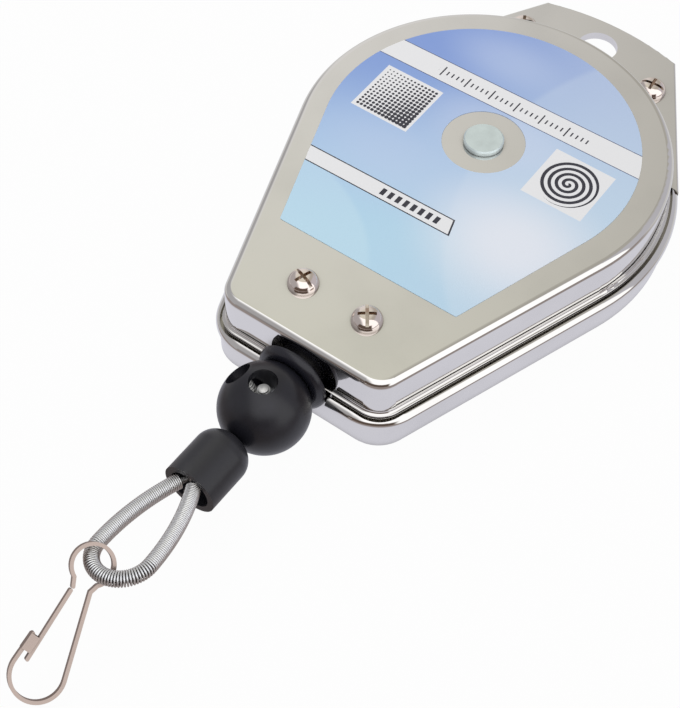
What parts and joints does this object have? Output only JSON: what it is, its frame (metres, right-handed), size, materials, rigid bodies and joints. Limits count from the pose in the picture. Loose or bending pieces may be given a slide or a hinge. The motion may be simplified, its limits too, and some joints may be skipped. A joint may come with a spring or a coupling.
{
  "type": "tool balancer",
  "caption": "Spring-wound rope balancer in a pressed steel case, with a hanger tab above and a ball stop, rope loop and snap hook below.",
  "frame": {"origin": "on the drum's axis, at the flat back of the rear cover", "axes": "+X across the case, +Y towards the hanger tab, +Z out of the front face"},
  "size_m": [0.1098, 0.2635, 0.0276],
  "materials": {
    "case_chrome": "bright plated",
    "plate_chrome": "bright plated",
    "sticker": "printed film",
    "screw_nickel": "nickel plated",
    "zinc_steel": "zinc plated",
    "black_plastic": "moulded black",
    "bronze": "sintered",
    "wire_rope": "galvanised strand",
    "ground_steel": "turned",
    "cap_zinc": "zinc plated",
    "drum_plastic": "moulded nylon",
    "spring_steel": "blued strip",
    "black_rubber": "moulded",
    "screw_zinc": "zinc plated",
    "guard_wire": "bright wire",
    "ferrule_alloy": "pressed",
    "black_sleeve": "moulded",
    "hook_nickel": "nickel plated"
  },
  "bodies": {
    "housing": {"rear_cover": "case_chrome", "front_cover": "case_chrome", "hanger_plate": "plate_chrome", "face_sticker": "sticker", "face_screws": "screw_nickel", "tab_screws": "screw_nickel", "tab_nuts": "zinc_steel", "outlet_guide": "black_plastic", "front_bush": "bronze", "rear_bush": "bronze", "pawl_pin": "zinc_steel", "rope_run": "wire_rope"},
    "tension_arbor": {"arbor": "ground_steel", "arbor_cap": "cap_zinc", "ratchet_wheel": "ground_steel"},
    "ratchet_pawl": {"pawl": "ground_steel"},
    "drum": {"rope_drum": "drum_plastic", "drum_cover": "zinc_steel", "drum_screws": "zinc_steel", "drum_bush_lower": "bronze", "drum_bush_upper": "bronze", "mainspring": "spring_steel", "wound_rope": "wire_rope"},
    "rope_end": {"ball_stop": "black_rubber", "stop_collar": "zinc_steel", "stop_screws": "screw_zinc", "rope_tail": "wire_rope", "loop_rope": "wire_rope", "loop_guard": "guard_wire", "ferrule": "ferrule_alloy"},
    "sleeve": {"end_sleeve": "black_sleeve"},
    "hook": {"hook_frame": "hook_nickel"},
    "gate": {"hook_gate": "hook_nickel"}
  },
  "joints": [
    {"name": "rope_pull", "type": "slide", "parent": "housing", "child": "rope_end", "axis": [0, -1, 0], "range_m": [0, 1.3], "stiffness_N_per_m": 8, "springref_m": -1.9, "deforming": ["rope_tail"]},
    {"name": "drum_turn", "type": "hinge", "parent": "housing", "child": "drum", "pos_m": [0, 0, 0.012], "axis": [0, 0, 1], "range_deg": [-1970, 0]},
    {"name": "tension_turn", "type": "hinge", "parent": "housing", "child": "tension_arbor", "pos_m": [0, 0, 0.012], "axis": [0, 0, 1], "continuous": true},
    {"name": "pawl_lift", "type": "hinge", "parent": "housing", "child": "ratchet_pawl", "pos_m": [-0.01393, -0.00975, 0.0027], "axis": [0, 0, 1], "range_deg": [-15, 0], "stiffness_Nm_per_rad": 0.001, "springref_deg": 11.46},
    {"name": "sleeve_turn", "type": "hinge", "parent": "rope_end", "child": "sleeve", "pos_m": [0, -0.118, 0.012], "axis": [0, 1, 0], "continuous": true},
    {"name": "hook_swing", "type": "hinge", "parent": "rope_end", "child": "hook", "pos_m": [-0.00288, -0.15767, 0.01702], "axis": [0.8375, -0.4997, 0.2209], "range_deg": [-15, 30]},
    {"name": "gate_open", "type": "hinge", "parent": "hook", "child": "gate", "pos_m": [-0.00361, -0.16442, 0.01521], "axis": [0.5549, -0.2705, 0.7867], "range_deg": [0, 10], "stiffness_Nm_per_rad": 0.4, "springref_deg": -5.73}
  ],
  "couplings": [
    {"joint": "drum_turn", "follows": "rope_pull", "rad_per_m": -26.3}
  ]
}
